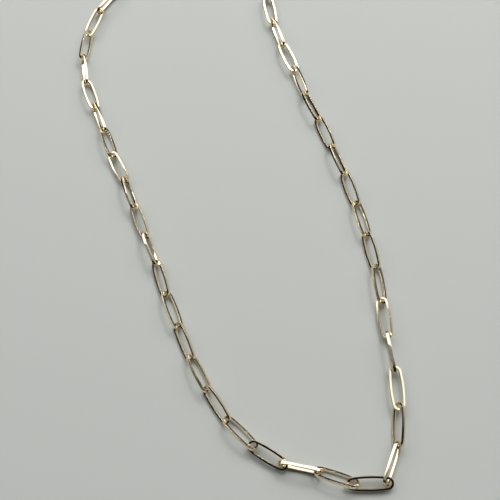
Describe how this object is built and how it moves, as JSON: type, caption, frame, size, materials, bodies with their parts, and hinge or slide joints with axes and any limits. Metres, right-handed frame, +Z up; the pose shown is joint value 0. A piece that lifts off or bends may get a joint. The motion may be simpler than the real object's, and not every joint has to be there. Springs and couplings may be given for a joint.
{
  "type": "paperclip chain necklace",
  "caption": "Necklace of long oval flat-wire links laid as an open loop on a surface, closed by a plain ring clasp.",
  "frame": {"origin": "middle of the loop's outline on the surface that the necklace lies on", "axes": "+Z up from the surface, +Y along the loop's length from its lower end to the clasp end, +X across it to the right"},
  "size_m": [0.067, 0.1782, 0.0035],
  "materials": {
    "gold_chain": "polished pale gold plate",
    "gold_clasp": "polished pale gold plate"
  },
  "bodies": {
    "root": {"link_01": "gold_chain", "link_02": "gold_chain", "link_03": "gold_chain", "link_04": "gold_chain", "link_05": "gold_chain", "link_06": "gold_chain", "link_07": "gold_chain", "link_08": "gold_chain", "link_09": "gold_chain", "link_10": "gold_chain", "link_11": "gold_chain", "link_12": "gold_chain", "link_13": "gold_chain", "link_14": "gold_chain", "link_15": "gold_chain", "link_16": "gold_chain", "link_17": "gold_chain", "link_18": "gold_chain", "link_19": "gold_chain", "link_20": "gold_chain", "link_21": "gold_chain", "link_22": "gold_chain", "link_23": "gold_chain", "link_24": "gold_chain", "link_25": "gold_chain", "link_26": "gold_chain", "link_27": "gold_chain", "link_28": "gold_chain", "link_29": "gold_chain", "link_30": "gold_chain", "link_31": "gold_chain", "link_32": "gold_chain", "link_33": "gold_chain", "link_34": "gold_chain", "link_35": "gold_chain", "link_36": "gold_chain", "link_37": "gold_chain", "link_38": "gold_chain", "link_39": "gold_chain", "link_40": "gold_chain", "link_41": "gold_chain", "link_42": "gold_chain", "link_43": "gold_chain", "link_44": "gold_chain", "link_45": "gold_chain", "clasp": "gold_clasp"}
  },
  "joints": []
}
